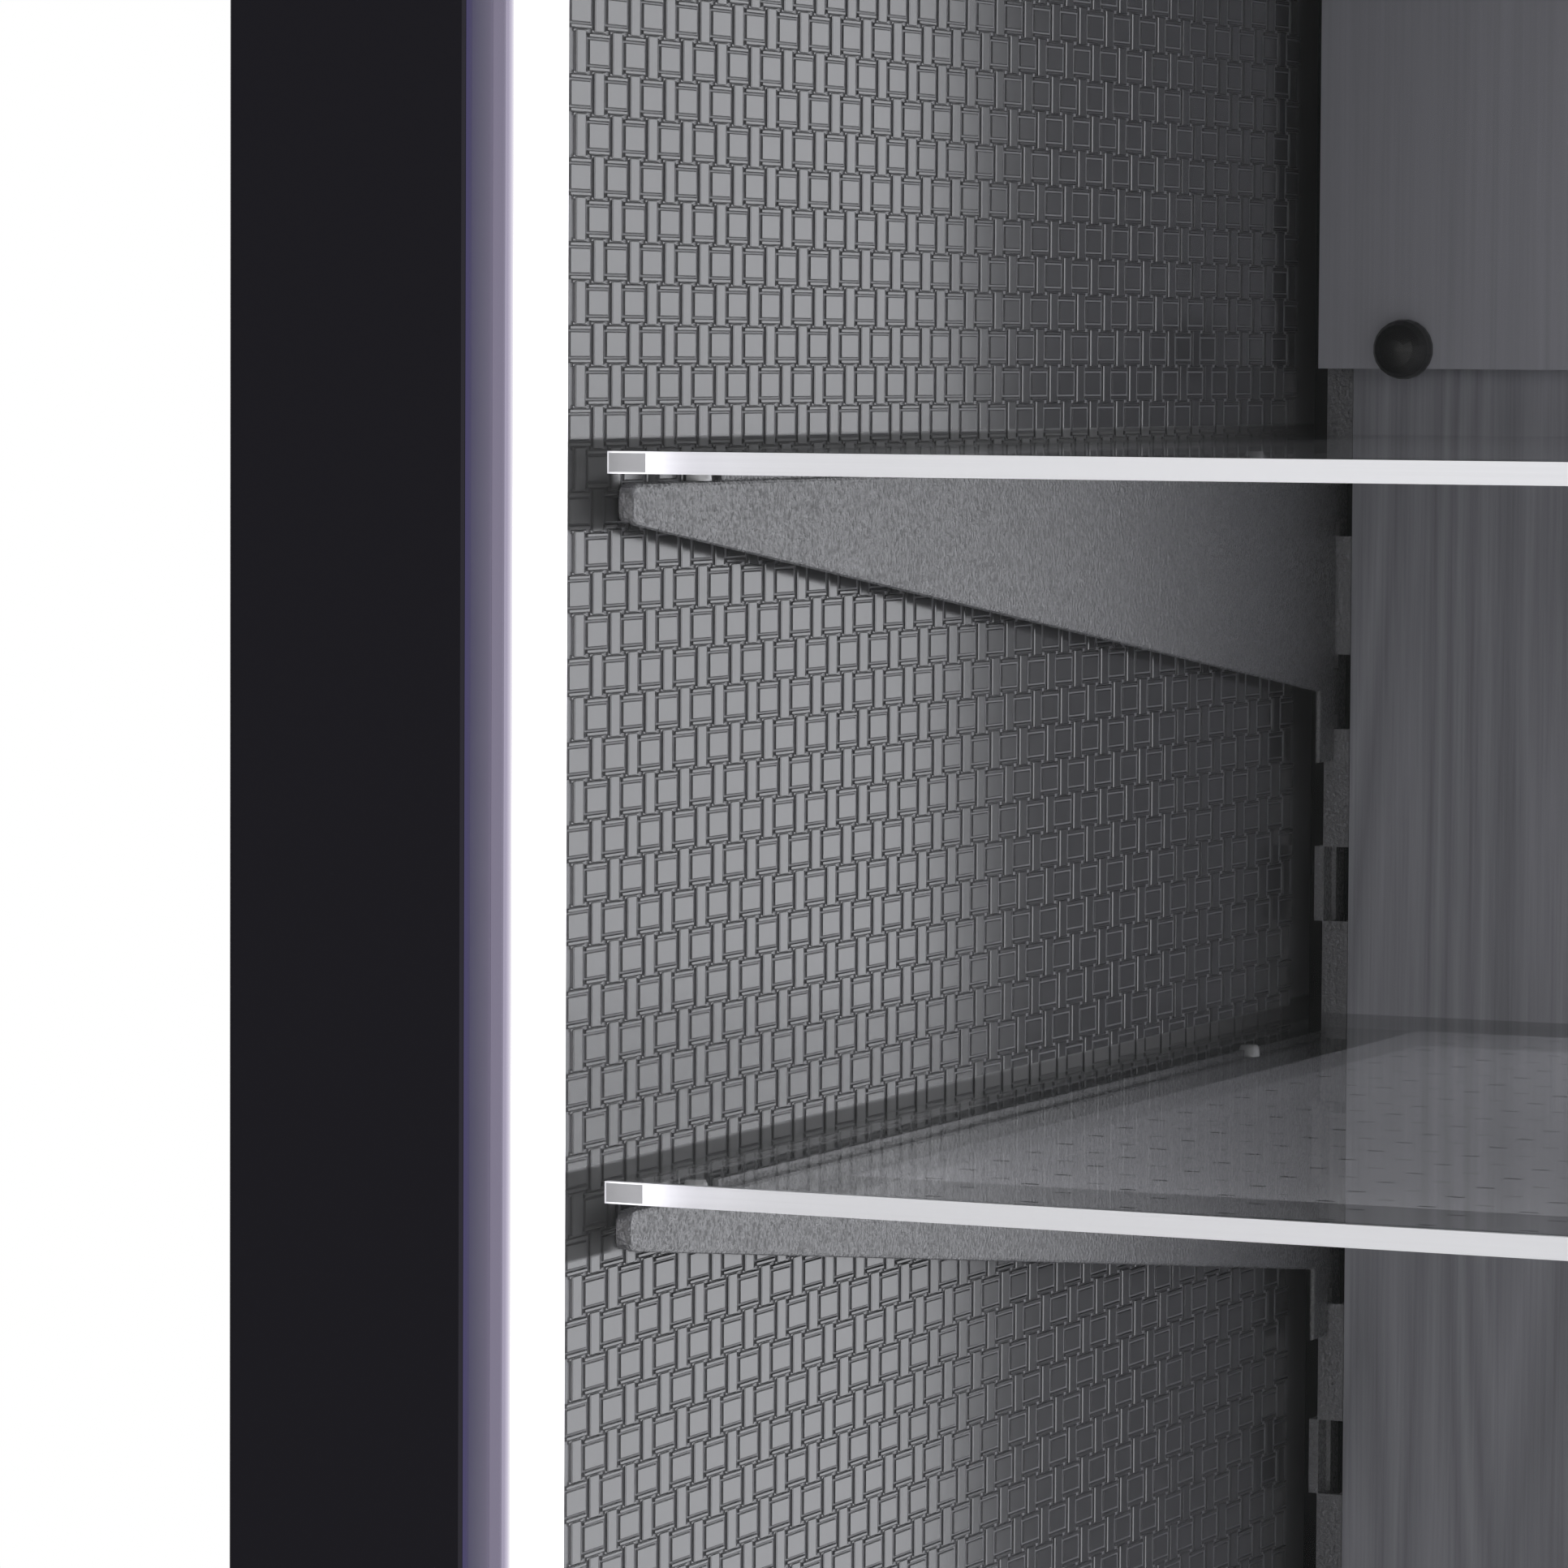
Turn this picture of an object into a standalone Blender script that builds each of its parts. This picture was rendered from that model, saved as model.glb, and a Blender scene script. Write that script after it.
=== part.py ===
"""Black display cabinet with two framed glass doors, glass shelves and lit front corners.

Metres, +Z up. The origin is on the floor, at the middle of the cabinet's plan, and the
doors face -Y. Every sub-part is one object, and everything is worked out from the driving
dimensions below.
"""

import math

import bmesh
import bpy
from mathutils import Matrix

# --- driving dimensions ---------------------------------------------------------------

WIDTH = 0.900                 # outside, side panel to side panel
HEIGHT = 1.800                # floor to the top of the top panel
CLEAR = 0.0003                # gap kept between pieces that meet
PAST = 0.001                  # how far a cutter runs beyond the face it cuts

SIDE_WALL = 0.054             # whole side wall: panel, battens and embossed lining
SIDE_PANEL = 0.018
LINING_SKIN = 0.006           # embossed face layer of the lining board
LINING_DEPTH = 0.427
TOP_THICK = 0.025
BOTTOM_THICK = 0.025
BACK_THICK = 0.0195
BACK_FRONT = 0.4365           # back panel's front, measured back from the linings' front edge
REAR_SHEET = 0.003

DOOR_THICK = 0.020
DOOR_GAP = 0.0025             # between the doors and what is round them
STILE = 0.054                 # width of every door frame member
FRAME_ROUND = 0.0014          # rounded long edges of the door frame
GLASS = 0.004
SHELF_GLASS = 0.0037
GROOVE_WIDTH = 0.007
GROOVE_DEPTH = 0.009
GROOVE_FRONT = 0.0105         # from the door's front face to the groove
GLASS_EDGE_GAP = 0.0025        # from the pane's edge to the bed of the groove
GASKET_LIP = 0.0005
PIVOT_INSET = 0.006           # pivot axis, in from the door's outer edge
PIN_RADIUS = 0.0025
PIN_BORE = 0.0030
PIN_LENGTH = 0.012
PIVOT_FLANGE = (0.0050, 0.0016)   # radius, thickness
CATCH = (0.080, 0.014, 0.012)
CATCH_GAP = 0.0006
HANDLE_REACH = 0.032
HANDLE_LENGTH = 0.320
HANDLE_BAR = (0.012, 0.008)
HANDLE_POST = 0.009
HANDLE_POST_INSET = 0.026
HANDLE_HEIGHT = 1.000         # middle of the handle

LED_DEPTH = 0.0225            # lit corner, from the carcass front to the lining
LED_WIDTH = 0.020
DIFFUSER_THICK = 0.002
CHANNEL_WALL = 0.0015
STRIP_THICK = 0.0012
STRIP_EDGES = (0.006, 0.016)      # from the carcass front
STRIP_END_GAP = 0.004

SLOT_PITCH = 0.050
SLOT_HEIGHT = 0.0194
SLOT_BELOW_SHELF = 0.0167     # first slot centre below a shelf's top
UPRIGHT_INSET = 0.0045        # from the lining to the upright
UPRIGHT_WIDTH = 0.007
UPRIGHT_DEPTH = 0.012
UPRIGHT_WALL = 0.0015
LUG_WIDTH = 0.0023
SLOT_DEEP = 0.006
SLOT_END_GAP = 0.020          # no slot nearer the floor or the ceiling
UPRIGHT_BEHIND = 0.0005       # upright behind the back panel's face

SHELF_TOPS = (1.520, 1.370, 0.970, 0.570)
SHELF_SIDE_GAP = 0.004
SHELF_FRONT = 0.010
SHELF_BACK = 0.434
TRIM_LIP = 0.0015
TRIM_HEIGHT = 0.0046
TRIM_FLANGE = 0.0006
TRIM_FLANGE_DEPTH = 0.012
CAP_LENGTH = 0.008
CAP_RIM = 0.0006              # trim left round an end cap
CAP_DEEP = 0.0009
BRACKET_TIP = 0.0145
BRACKET_TIP_HEIGHT = 0.0086
BRACKET_REAR_HEIGHT = 0.0595
BRACKET_LEG_HEIGHT = 0.078
BRACKET_LEG_WIDTH = 0.011
BRACKET_ROUND = 0.003
BRACKET_SHEET = 0.0012
BRACKET_WIDTH = 0.003
BRACKET_FOLD = 0.0008         # rounding of the fold along the face
UPSTAND_START = 0.062         # a strip on the bracket's top begins behind the bumper
UPSTAND_HEIGHT = 0.0018
HOOK_HEIGHT = 0.012
HOOK_REACH = 0.005
BUMPER_HEIGHT = 0.0021        # clear bumpers stand between a bracket and its shelf

COVER_ABOVE_SHELF = 0.017     # cover's bottom edge above the highest shelf
COVER_FRONT = 0.425
COVER_SIDE = 0.0063
COVER_SHEET = 0.0012
COVER_DEPTH = 0.0108
KNOB_RADIUS = 0.0077
KNOB_HEIGHT = 0.0085
KNOB_RIM = 0.0016
KNOB_FLAT = 0.0004            # radius of the flat at the dome's top
KNOB_STEM = (0.0030, 0.0045)  # radius, length
KNOB_HOLE = (0.0036, 0.0035)  # radius, depth
TONGUE_HALF = 0.0025
TONGUE_DEPTH = (0.0035, 0.0055)
TONGUE_HEIGHT = (-0.0025, 0.015)
KNOB_FROM_EDGE = 0.0235
KNOB_ABOVE_EDGE = 0.002
KNOB_STEM_UP = 0.003          # the knob's stem is this far above the cover's marked height
DRIVER_SIZE = (0.170, 0.0094, 0.040)

PLINTH_HEIGHT = 0.070
PLINTH_THICK = 0.018
PLINTH_RECESS = 0.040
PLINTH_SIDE_RECESS = 0.012
FOOT_RADIUS = 0.022
FOOT_PAD = 0.008
FOOT_STEM = 0.005
FOOT_BORE = 0.0056
FOOT_BORE_DEEP = 0.014
FOOT_NECK = (0.012, 0.002)    # radius at the pad's top, height of the slope above it
FOOT_COLLAR = (0.009, 0.006)
FOOT_STEM_IN = 0.012          # stem inside the bottom panel
FOOT_INSET = 0.075
FOOT_FRONT_INSET = 0.095
FLOOR_GAP = 0.015             # floor to the plinth boards

# --- places worked out from them -------------------------------------------------------

HALF = WIDTH / 2
INNER = HALF - SIDE_WALL                                   # lining faces at X = +-INNER
REACH_FRONT = LED_DEPTH + DOOR_GAP + DOOR_THICK + HANDLE_REACH
REACH_REAR = BACK_FRONT + BACK_THICK + CLEAR + REAR_SHEET
WALL_FRONT = (REACH_FRONT - REACH_REAR) / 2                # Y of the linings' front edge
CARCASS_FRONT = WALL_FRONT - LED_DEPTH
DOOR_REAR = CARCASS_FRONT - DOOR_GAP
DOOR_FRONT = DOOR_REAR - DOOR_THICK
BACK_FACE = WALL_FRONT + BACK_FRONT
CARCASS_REAR = BACK_FACE + BACK_THICK

BOTTOM_LOW = FLOOR_GAP + PLINTH_HEIGHT
FLOOR_Z = BOTTOM_LOW + BOTTOM_THICK
CEILING_Z = HEIGHT - TOP_THICK
DOOR_LOW = FLOOR_Z + DOOR_GAP
DOOR_HIGH = CEILING_Z - DOOR_GAP
PIVOT_X = HALF - PIVOT_INSET
PIVOT_Y = DOOR_REAR - DOOR_THICK / 2
GROOVE_Y = DOOR_FRONT + GROOVE_FRONT
GLASS_Y = GROOVE_Y + (GROOVE_WIDTH - GLASS) / 2
COVER_LOW = SHELF_TOPS[0] + COVER_ABOVE_SHELF
KNOB_Z = COVER_LOW + KNOB_ABOVE_EDGE
KNOB_X = INNER - COVER_SIDE - KNOB_FROM_EDGE
COVER_FACE = WALL_FRONT + COVER_FRONT
UPRIGHT_FACE = BACK_FACE + UPRIGHT_BEHIND

LEFT, RIGHT = -1, 1
SIDES = (("left", LEFT), ("right", RIGHT))


# --- materials -------------------------------------------------------------------------

def material(name, colour, roughness, metallic=0.0, alpha=1.0, glow=0.0):
    """One Principled material."""
    made = bpy.data.materials.new(name)
    made.use_nodes = True
    shader = made.node_tree.nodes["Principled BSDF"]
    shader.inputs["Base Color"].default_value = (*colour, 1.0)
    shader.inputs["Roughness"].default_value = roughness
    shader.inputs["Metallic"].default_value = metallic
    shader.inputs["Alpha"].default_value = alpha
    shader.inputs["Emission Color"].default_value = (*colour, 1.0)
    shader.inputs["Emission Strength"].default_value = glow
    return made


def make_materials():
    """Every finish on the cabinet, by a plain name."""
    return {
        "black": material("black_lacquer", (0.013, 0.012, 0.016), 0.45),
        "core": material("black_board", (0.02, 0.02, 0.022), 0.7),
        "lining": material("embossed_lining", (0.20, 0.20, 0.21), 0.38),
        "wood": material("dark_wood", (0.10, 0.10, 0.115), 0.55),
        "brushed": material("brushed_dark_metal", (0.22, 0.22, 0.24), 0.36, 0.9),
        "powder": material("grey_powder_coat", (0.16, 0.16, 0.175), 0.5, 0.3),
        "trim": material("brushed_aluminium", (0.85, 0.85, 0.87), 0.3, 1.0),
        "glass": material("clear_glass", (0.93, 0.96, 0.96), 0.02, 0.0, 0.2),
        "diffuser": material("opal_diffuser", (1.0, 0.99, 1.0), 0.5, 0.0, 1.0, 2.0),
        "channel": material("led_channel", (0.75, 0.75, 0.77), 0.4, 1.0),
        "strip": material("led_strip", (0.85, 0.85, 0.80), 0.5),
        "rubber": material("black_rubber", (0.015, 0.015, 0.016), 0.6),
        "knob": material("black_knob", (0.010, 0.010, 0.011), 0.35),
        "steel": material("steel", (0.55, 0.55, 0.57), 0.35, 1.0),
        "handle": material("handle_aluminium", (0.70, 0.70, 0.72), 0.32, 1.0),
        "plastic": material("driver_plastic", (0.75, 0.75, 0.74), 0.5),
        "foot": material("foot_plastic", (0.02, 0.02, 0.02), 0.55),
    }


# --- mesh helpers ----------------------------------------------------------------------

def add_box(bm, low, high):
    """A box between two corners."""
    size = [b - a for a, b in zip(low, high)]
    middle = [(a + b) / 2 for a, b in zip(low, high)]
    turn = Matrix.Translation(middle) @ Matrix.Diagonal((*size, 1.0))
    bmesh.ops.create_cube(bm, size=1.0, matrix=turn)


def sided(low, high, side):
    """The box corners for one side: X is written for the right and mirrored for the left."""
    xs = sorted((side * low[0], side * high[0]))
    return (xs[0], low[1], low[2]), (xs[1], high[1], high[2])


def add_prism(bm, outline, axis, start, end):
    """An outline pushed along X, Y or Z; its two numbers are the other two axes in order."""
    def point(pair, along):
        values = list(pair)
        values.insert("XYZ".index(axis), along)
        return values

    first = [bm.verts.new(point(pair, start)) for pair in outline]
    last = [bm.verts.new(point(pair, end)) for pair in outline]
    count = len(outline)
    faces = [bm.faces.new(first), bm.faces.new(list(reversed(last)))]
    for i in range(count):
        j = (i + 1) % count
        faces.append(bm.faces.new((first[j], first[i], last[i], last[j])))
    bmesh.ops.recalc_face_normals(bm, faces=faces)


def add_turned(bm, profile, centre, axis, sides):
    """A profile of (radius, along) pairs turned about an axis through centre.

    The profile starts and ends on the axis side with flat discs, so the body is closed.
    """
    rings = []
    order = {"X": (1, 2, 0), "Y": (2, 0, 1), "Z": (0, 1, 2)}[axis]
    for radius, along in profile:
        ring = []
        for k in range(sides):
            angle = 2 * math.pi * (k + 0.5) / sides
            place = [0.0, 0.0, 0.0]
            place[order[0]] = centre[order[0]] + radius * math.cos(angle)
            place[order[1]] = centre[order[1]] + radius * math.sin(angle)
            place[order[2]] = centre[order[2]] + along
            ring.append(bm.verts.new(place))
        rings.append(ring)
    faces = [bm.faces.new(rings[0]), bm.faces.new(list(reversed(rings[-1])))]
    for low, high in zip(rings, rings[1:]):
        for k in range(sides):
            j = (k + 1) % sides
            faces.append(bm.faces.new((low[j], low[k], high[k], high[j])))
    bmesh.ops.recalc_face_normals(bm, faces=faces)


def arc(cx, cy, radius, start, end, steps):
    """Points on a circle from one angle to another, in degrees."""
    points = []
    for k in range(steps + 1):
        angle = math.radians(start + (end - start) * k / steps)
        points.append((cx + radius * math.cos(angle), cy + radius * math.sin(angle)))
    return points


SMOOTH_BELOW = math.radians(35)   # faces meeting at less than this shade as one surface


def finish(name, bm, look, holder=None, smooth=False):
    """Turn a bmesh into a named object, hung on an empty when it moves."""
    mesh = bpy.data.meshes.new(name)
    bm.to_mesh(mesh)
    bm.free()
    made = bpy.data.objects.new(name, mesh)
    bpy.context.scene.collection.objects.link(made)
    if look is not None:
        mesh.materials.append(look)
    if smooth:
        mesh.shade_smooth()
        mesh.set_sharp_from_angle(angle=SMOOTH_BELOW)
    if holder is not None:
        mesh.transform(Matrix.Translation(-holder.location))
        made.parent = holder
    return made


def axis_empty(name, place):
    """An empty on a joint's axis."""
    made = bpy.data.objects.new(name, None)
    made.location = place
    bpy.context.scene.collection.objects.link(made)
    return made


def boolean(target, tool, operation):
    """Join or cut with a hidden tool body."""
    tool.hide_render = True
    tool.display_type = "WIRE"
    change = target.modifiers.new(operation.lower(), "BOOLEAN")
    change.operation = operation
    change.object = tool
    change.solver = "EXACT"


# --- carcass ---------------------------------------------------------------------------

def make_carcass(looks):
    """Side panels, top, bottom, plinth, back panel and rear sheet."""
    for name, side in SIDES:
        bm = bmesh.new()
        add_box(bm, *sided((HALF - SIDE_PANEL, CARCASS_FRONT, FLOOR_Z + CLEAR),
                           (HALF, CARCASS_REAR, CEILING_Z - CLEAR), side))
        finish(name + "_side_panel", bm, looks["black"])

    bm = bmesh.new()
    add_box(bm, (-HALF, DOOR_FRONT, CEILING_Z), (HALF, CARCASS_REAR, HEIGHT))
    finish("top_panel", bm, looks["black"])

    bm = bmesh.new()
    add_box(bm, (-HALF, DOOR_FRONT, BOTTOM_LOW), (HALF, CARCASS_REAR, FLOOR_Z))
    panel = finish("bottom_panel", bm, looks["black"])
    bm = bmesh.new()
    for x, y in foot_places():
        add_turned(bm, ((FOOT_BORE, -PAST), (FOOT_BORE, FOOT_BORE_DEEP)),
                   (x, y, BOTTOM_LOW), "Z", 12)
    boolean(panel, finish("cut_foot_bores", bm, None), "DIFFERENCE")

    make_plinth(looks)

    edge = INNER - UPRIGHT_INSET - UPRIGHT_WIDTH - CLEAR
    bm = bmesh.new()
    add_box(bm, (-edge, BACK_FACE, FLOOR_Z + CLEAR), (edge, CARCASS_REAR, CEILING_Z - CLEAR))
    finish("back_panel", bm, looks["wood"])

    bm = bmesh.new()
    add_box(bm, (-HALF, CARCASS_REAR + CLEAR, BOTTOM_LOW),
            (HALF, CARCASS_REAR + CLEAR + REAR_SHEET, HEIGHT))
    finish("rear_sheet", bm, looks["core"])


def make_plinth(looks):
    """Frame under the bottom panel, set back from the doors, open in the middle."""
    low, high = FLOOR_GAP, BOTTOM_LOW - CLEAR
    front = DOOR_FRONT + PLINTH_RECESS
    rear = CARCASS_REAR - PLINTH_SIDE_RECESS
    side = HALF - PLINTH_SIDE_RECESS
    wall = PLINTH_THICK
    bm = bmesh.new()
    add_box(bm, (-side, front, low), (side, rear, high))
    plinth = finish("plinth", bm, looks["black"])
    bm = bmesh.new()
    add_box(bm, (-side + wall, front + wall, low - PAST), (side - wall, rear - wall, high + PAST))
    boolean(plinth, finish("cut_plinth", bm, None), "DIFFERENCE")


def make_linings(looks):
    """Embossed lining boards. Behind the face layer the board runs on past the upright."""
    low, high = FLOOR_Z + CLEAR, CEILING_Z - CLEAR
    outer = HALF - SIDE_PANEL - CLEAR
    face_rear = WALL_FRONT + LINING_DEPTH
    outline = ((INNER, WALL_FRONT), (outer, WALL_FRONT), (outer, CARCASS_REAR),
               (INNER + LINING_SKIN, CARCASS_REAR), (INNER + LINING_SKIN, face_rear),
               (INNER, face_rear))
    for name, side in SIDES:
        bm = bmesh.new()
        add_prism(bm, [(side * x, y) for x, y in outline], "Z", low, high)
        finish(name + "_lining", bm, looks["lining"])


# --- lit corners -----------------------------------------------------------------------

def make_lit_corners(looks):
    """An aluminium channel, a light strip and an opal diffuser behind each hinge stile."""
    low, high = FLOOR_Z + CLEAR, CEILING_Z - CLEAR
    front, rear = CARCASS_FRONT, WALL_FRONT - CLEAR
    mouth = INNER + DIFFUSER_THICK + CLEAR
    back = INNER + LED_WIDTH
    wall = CHANNEL_WALL
    outline = ((mouth, front), (back, front), (back, rear), (mouth, rear),
               (mouth, rear - wall), (back - wall, rear - wall),
               (back - wall, front + wall), (mouth, front + wall))
    for name, side in SIDES:
        bm = bmesh.new()
        add_prism(bm, [(side * x, y) for x, y in outline], "Z", low, high)
        finish(name + "_led_channel", bm, looks["channel"])
        bm = bmesh.new()
        strip = back - wall - CLEAR
        add_box(bm, *sided((strip - STRIP_THICK, front + STRIP_EDGES[0], low + STRIP_END_GAP),
                           (strip, front + STRIP_EDGES[1], high - STRIP_END_GAP), side))
        finish(name + "_led_strip", bm, looks["strip"])
        bm = bmesh.new()
        add_box(bm, *sided((INNER, front, low), (INNER + DIFFUSER_THICK, rear, high), side))
        finish(name + "_diffuser", bm, looks["diffuser"])


def make_driver_cover(looks):
    """Brushed tray across the top of the back, with the light driver behind it."""
    side = INNER - COVER_SIDE
    low, high = COVER_LOW, CEILING_Z - CLEAR
    face, rear = COVER_FACE, COVER_FACE + COVER_DEPTH
    bm = bmesh.new()
    add_box(bm, (-side, face, low), (side, rear, high))
    cover = finish("driver_cover", bm, looks["brushed"])
    bm = bmesh.new()
    add_box(bm, (-side + COVER_SHEET, face + COVER_SHEET, low + COVER_SHEET),
            (side - COVER_SHEET, rear + PAST, high - COVER_SHEET))
    boolean(cover, finish("cut_cover_hollow", bm, None), "DIFFERENCE")
    bm = bmesh.new()
    for sign in (LEFT, RIGHT):
        add_turned(bm, ((KNOB_HOLE[0], -PAST), KNOB_HOLE),
                   (sign * KNOB_X, face, KNOB_Z + KNOB_STEM_UP), "Y", 16)
    boolean(cover, finish("cut_knob_holes", bm, None), "DIFFERENCE")

    length, thick, tall = DRIVER_SIZE
    middle = (COVER_LOW + CEILING_Z) / 2
    bm = bmesh.new()
    add_box(bm, (-length / 2, BACK_FACE - CLEAR - thick, middle - tall / 2),
            (length / 2, BACK_FACE - CLEAR, middle + tall / 2))
    finish("led_driver", bm, looks["plastic"])


def make_knobs(looks):
    """Domed quarter-turn knobs at the cover's lower corners, with a tongue behind."""
    for name, side in SIDES:
        centre = (side * KNOB_X, COVER_FACE, KNOB_Z + KNOB_STEM_UP)
        holder = axis_empty(name + "_knob_axis", centre)
        bm = bmesh.new()
        dome = [(KNOB_FLAT, -KNOB_HEIGHT)]
        for k in range(1, 6):
            angle = math.radians(90 * k / 5)
            dome.append((KNOB_RADIUS * math.sin(angle),
                         -KNOB_RIM - (KNOB_HEIGHT - KNOB_RIM) * math.cos(angle)))
        dome.append((KNOB_RADIUS, -CLEAR))
        dome.append((KNOB_STEM[0], -CLEAR))
        dome.append(KNOB_STEM)
        add_turned(bm, dome, centre, "Y", 20)
        knob = finish(name + "_cover_knob", bm, looks["knob"], holder, True)
        bm = bmesh.new()
        x, y, z = centre
        add_box(bm, (x - TONGUE_HALF, y + TONGUE_DEPTH[0], z + TONGUE_HEIGHT[0]),
                (x + TONGUE_HALF, y + TONGUE_DEPTH[1], z + TONGUE_HEIGHT[1]))
        boolean(knob, finish("join_tongue_" + name, bm, None, holder), "UNION")


# --- shelves ---------------------------------------------------------------------------

def slot_heights():
    """Middle of every slot, from the highest down."""
    first = SHELF_TOPS[0] - SLOT_BELOW_SHELF
    above = int((CEILING_Z - SLOT_END_GAP - first) / SLOT_PITCH)
    heights = []
    z = first + above * SLOT_PITCH
    while z > FLOOR_Z + SLOT_END_GAP:
        heights.append(z)
        z -= SLOT_PITCH
    return heights


def make_uprights(looks):
    """Slotted channels in the rear corners, with a lug on the wall side of each slot."""
    low, high = FLOOR_Z + CLEAR, CEILING_Z - CLEAR
    outer = INNER - UPRIGHT_INSET
    inner = outer - UPRIGHT_WIDTH
    front, rear = UPRIGHT_FACE, UPRIGHT_FACE + UPRIGHT_DEPTH - CLEAR
    wall = UPRIGHT_WALL
    outline = ((outer, rear), (outer, front), (inner, front), (inner, rear),
               (inner + wall, rear), (inner + wall, front + wall),
               (outer - wall, front + wall), (outer - wall, rear))
    for name, side in SIDES:
        bm = bmesh.new()
        add_prism(bm, [(side * x, y) for x, y in outline], "Z", low, high)
        upright = finish(name + "_upright", bm, looks["powder"])
        cuts = bmesh.new()
        lugs = bmesh.new()
        for z in slot_heights():
            half = SLOT_HEIGHT / 2
            add_box(cuts, *sided((inner - PAST, front - PAST, z - half),
                                 (outer + PAST, front + SLOT_DEEP, z + half), side))
            add_box(lugs, *sided((outer - CLEAR, front, z - half),
                                 (outer + LUG_WIDTH, front + SLOT_DEEP + wall, z + half), side))
        boolean(upright, finish("cut_slots_" + name, cuts, None), "DIFFERENCE")
        boolean(upright, finish("join_lugs_" + name, lugs, None), "UNION")


def bracket_outline(top):
    """Side view of a bracket, (Y, Z): round tip, sloping lower edge, rear leg."""
    tip = WALL_FRONT + BRACKET_TIP
    rear = UPRIGHT_FACE - CLEAR
    leg = rear - BRACKET_LEG_WIDTH
    r = BRACKET_ROUND
    bottom = top - BRACKET_TIP_HEIGHT
    points = arc(tip + r, top - r, r, 90, 180, 4)
    points += arc(tip + r, bottom + r, r, 180, 262, 3)
    points += [(leg, top - BRACKET_REAR_HEIGHT), (leg, top - BRACKET_LEG_HEIGHT),
               (rear, top - BRACKET_LEG_HEIGHT), (rear, top)]
    return points


def inset_bracket_outline(top):
    """The hollow behind a bracket's face: sheet left at the top and the tip, open below."""
    tip = WALL_FRONT + BRACKET_TIP + BRACKET_SHEET
    rear = UPRIGHT_FACE - CLEAR - BRACKET_SHEET
    bottom = top - BRACKET_LEG_HEIGHT - PAST
    return [(tip, top - BRACKET_SHEET), (tip, bottom), (rear, bottom), (rear, top - BRACKET_SHEET)]


def round_face_edges(bm, x, amount):
    """Round every edge lying in the plane at x."""
    edges = [edge for edge in bm.edges if all(abs(v.co.x - x) < 1e-6 for v in edge.verts)]
    bmesh.ops.bevel(bm, geom=edges, offset=amount, segments=2, profile=0.5, affect="EDGES")


def make_brackets(number, shelf_top, looks):
    """The pair of folded brackets under one shelf, hooked into the uprights."""
    top = shelf_top - TRIM_HEIGHT - BUMPER_HEIGHT
    outer = INNER - UPRIGHT_INSET
    inner = outer - BRACKET_WIDTH
    rear = UPRIGHT_FACE - CLEAR
    for name, side in SIDES:
        name = "%s_bracket_%d" % (name, number)
        bm = bmesh.new()
        add_prism(bm, bracket_outline(top), "X", side * inner, side * outer)
        round_face_edges(bm, side * inner, BRACKET_FOLD)
        bracket = finish(name, bm, looks["powder"])
        bm = bmesh.new()
        add_prism(bm, inset_bracket_outline(top), "X",
                  side * (inner + BRACKET_SHEET), side * (outer + PAST))
        boolean(bracket, finish("cut_" + name, bm, None), "DIFFERENCE")
        bm = bmesh.new()
        add_box(bm, *sided((outer - BRACKET_SHEET, WALL_FRONT + UPSTAND_START, top - CLEAR),
                           (outer, rear, top + UPSTAND_HEIGHT), side))
        boolean(bracket, finish("strip_" + name, bm, None), "UNION")
        bm = bmesh.new()
        for k in range(2):
            z = shelf_top - SLOT_BELOW_SHELF - k * SLOT_PITCH
            half = HOOK_HEIGHT / 2
            add_box(bm, *sided((inner + BRACKET_FOLD, rear - BRACKET_SHEET / 2, z - half),
                               (outer - 2 * CLEAR, UPRIGHT_FACE + HOOK_REACH, z + half), side))
        boolean(bracket, finish("join_" + name, bm, None), "UNION")


def make_shelf(number, top, looks):
    """A glass shelf with its front trim."""
    side = INNER - SHELF_SIDE_GAP
    front = WALL_FRONT + SHELF_FRONT
    glass_front = front + TRIM_LIP + CLEAR
    bm = bmesh.new()
    add_box(bm, (-side, glass_front, top - SHELF_GLASS), (side, WALL_FRONT + SHELF_BACK, top))
    finish("glass_shelf_%d" % number, bm, looks["glass"])

    low = top - TRIM_HEIGHT
    outline = ((front, low), (front + TRIM_FLANGE_DEPTH, low),
               (front + TRIM_FLANGE_DEPTH, low + TRIM_FLANGE),
               (front + TRIM_LIP, low + TRIM_FLANGE), (front + TRIM_LIP, top), (front, top))
    bm = bmesh.new()
    add_prism(bm, outline, "X", -side, side)
    trim = finish("shelf_trim_%d" % number, bm, looks["trim"])
    bm = bmesh.new()
    for sign in (LEFT, RIGHT):
        add_box(bm, *sided(*cap_pocket(top), sign))
    boolean(trim, finish("cut_trim_%d" % number, bm, None), "DIFFERENCE")


def cap_pocket(top):
    """Pocket for an end cap in the front of a trim, right-hand end."""
    side = INNER - SHELF_SIDE_GAP
    front = WALL_FRONT + SHELF_FRONT
    return ((side - CAP_RIM - CAP_LENGTH, front - PAST, top - TRIM_HEIGHT + CAP_RIM),
            (side - CAP_RIM, front + CAP_DEEP, top - CAP_RIM))


# --- doors -----------------------------------------------------------------------------

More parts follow.
